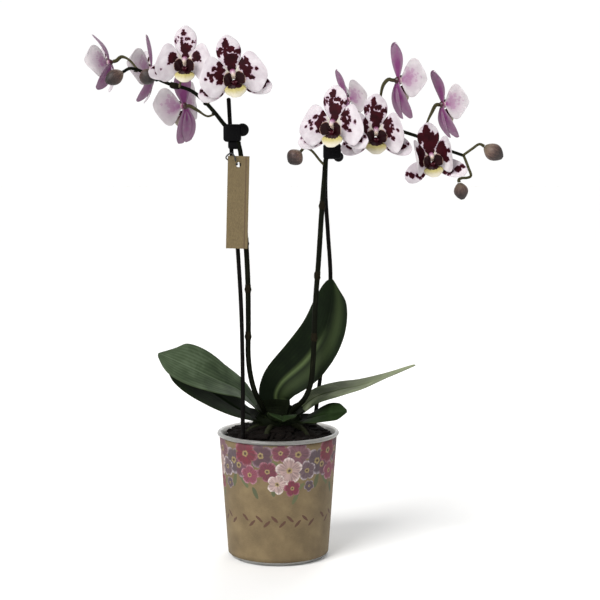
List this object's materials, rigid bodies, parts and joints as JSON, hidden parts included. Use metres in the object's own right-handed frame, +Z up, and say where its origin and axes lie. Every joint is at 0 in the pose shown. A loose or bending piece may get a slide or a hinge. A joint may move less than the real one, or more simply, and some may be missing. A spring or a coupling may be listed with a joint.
{
  "type": "potted_orchid",
  "caption": "Potted multiflora moth orchid: two arching sprays of white blooms blotched with maroon, clipped to stakes, in a clear nursery pot with a printed kraft sleeve",
  "frame": {"origin": "the centre of the pot's underside, on the ground", "axes": "+Z up the pot's axis, -Y the front that most of the blooms face, +X to the viewer's right; metres"},
  "size_m": [0.3951, 0.1359, 0.5017],
  "materials": {
    "clear_plastic": "clear moulded polypropylene, slightly milky",
    "printed_kraft": "brown kraft paper with a printed blossom border",
    "bark": "dark damp pine bark chips",
    "crown": "green leaf bases and silvery green roots",
    "leaf": "thick leathery dark green leaf, satin",
    "spike": "dark green-brown flower stem",
    "stake": "coated dark support rod",
    "clip": "black moulded clip",
    "tag": "kraft card",
    "tie": "black coated wire",
    "bud": "closed brownish flower bud, matte",
    "tepal": "white petals and sepals with maroon blotches",
    "lip": "maroon lip with a pale yellow edge"
  },
  "bodies": {
    "root": {"bark": "bark", "bloom_left_1_lip": "lip", "bloom_left_1_tepals": "tepal", "bloom_left_2_lip": "lip", "bloom_left_2_tepals": "tepal", "bloom_left_3_lip": "lip", "bloom_left_3_tepals": "tepal", "bloom_left_4_lip": "lip", "bloom_left_4_tepals": "tepal", "bloom_left_5_lip": "lip", "bloom_left_5_tepals": "tepal", "bloom_right_1_lip": "lip", "bloom_right_1_tepals": "tepal", "bloom_right_2_lip": "lip", "bloom_right_2_tepals": "tepal", "bloom_right_3_lip": "lip", "bloom_right_3_tepals": "tepal", "bloom_right_4_lip": "lip", "bloom_right_4_tepals": "tepal", "bloom_right_5_lip": "lip", "bloom_right_5_tepals": "tepal", "bloom_right_6_lip": "lip", "bloom_right_6_tepals": "tepal", "bud_left_near": "bud", "bud_left_tip": "bud", "bud_right_hanging": "bud", "bud_right_high": "bud", "bud_right_low": "bud", "clip_left": "clip", "clip_right": "clip", "crown": "crown", "leaf_front_short": "leaf", "leaf_left_lower": "leaf", "leaf_left_upper": "leaf", "leaf_right_low": "leaf", "leaf_right_short": "leaf", "leaf_right_tall": "leaf", "pot": "clear_plastic", "pot_sleeve": "printed_kraft", "spike_left": "spike", "spike_right": "spike", "stake_left": "stake", "stake_right": "stake", "tag": "tag", "tag_tie": "tie"}
  },
  "joints": []
}
